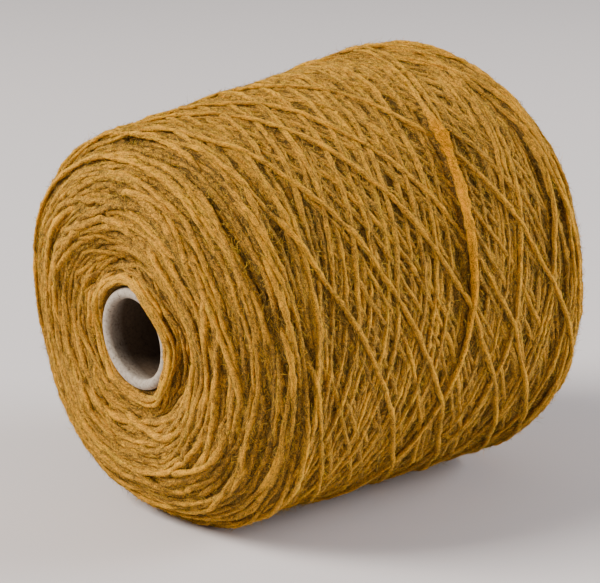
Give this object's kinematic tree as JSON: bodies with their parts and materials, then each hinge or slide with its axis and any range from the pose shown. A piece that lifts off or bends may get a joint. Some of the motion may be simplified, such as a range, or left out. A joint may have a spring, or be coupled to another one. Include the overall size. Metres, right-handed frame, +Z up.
{
  "type": "cone of wool yarn",
  "caption": "Cross-wound package of thick brushed mustard wool yarn on a tapered paper cone, lying on its side, with soft rounded shoulders and an open bore through the cone.",
  "frame": {"origin": "on the surface the package lies on, under the middle of its box", "axes": "+Z up; +X under the cone's axis, from the nose to the base; the axis itself climbs 4 degrees 20 minutes towards +X"},
  "size_m": [0.1878, 0.1798, 0.1762],
  "materials": {
    "wool_yarn": "brushed mustard wool, matt and hairy",
    "paper_board": "rough grey-beige paper board"
  },
  "bodies": {
    "root": {"yarn_package": "wool_yarn", "card_cone": "paper_board"}
  },
  "joints": []
}
